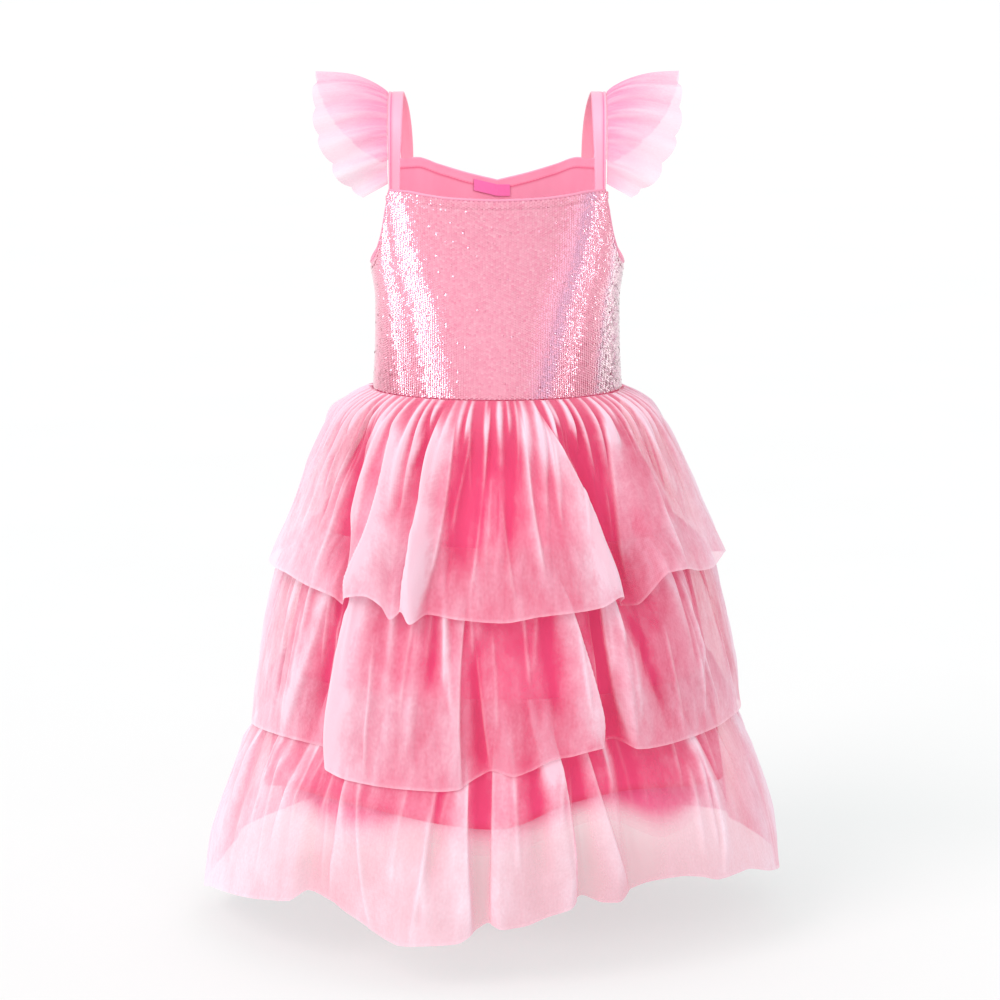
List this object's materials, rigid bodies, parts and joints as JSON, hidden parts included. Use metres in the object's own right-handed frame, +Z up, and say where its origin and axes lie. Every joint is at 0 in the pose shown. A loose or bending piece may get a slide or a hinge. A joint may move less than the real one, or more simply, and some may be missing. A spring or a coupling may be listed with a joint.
{
  "type": "party dress",
  "caption": "Child's party dress with sequinned bodice, shoulder straps, flutter sleeves and a tiered tulle skirt over a lining.",
  "frame": {"origin": "midway between the tops of the two shoulder straps, where the wearer's shoulders carry the dress", "axes": "+Z up, the dress's front faces -Y, +X to the right as seen from the front"},
  "size_m": [0.5515, 0.4862, 0.7772],
  "materials": {
    "sequins": "closely set clear-lacquered sequins on pink cloth",
    "satin": "smooth satin-faced weave",
    "lining": "plain matt lining weave",
    "tulle": "soft fine net, see-through",
    "label": "woven satin tape, bare"
  },
  "bodies": {
    "root": {"bodice_front": "sequins", "bodice_back_left": "satin", "bodice_back_right": "satin", "strap_left": "satin", "strap_right": "satin", "sleeve_ruffle_left": "tulle", "sleeve_ruffle_right": "tulle", "skirt_lining": "lining", "petticoat": "tulle", "tier_1": "tulle", "tier_2": "tulle", "tier_3": "tulle", "neck_label": "label"}
  },
  "joints": []
}
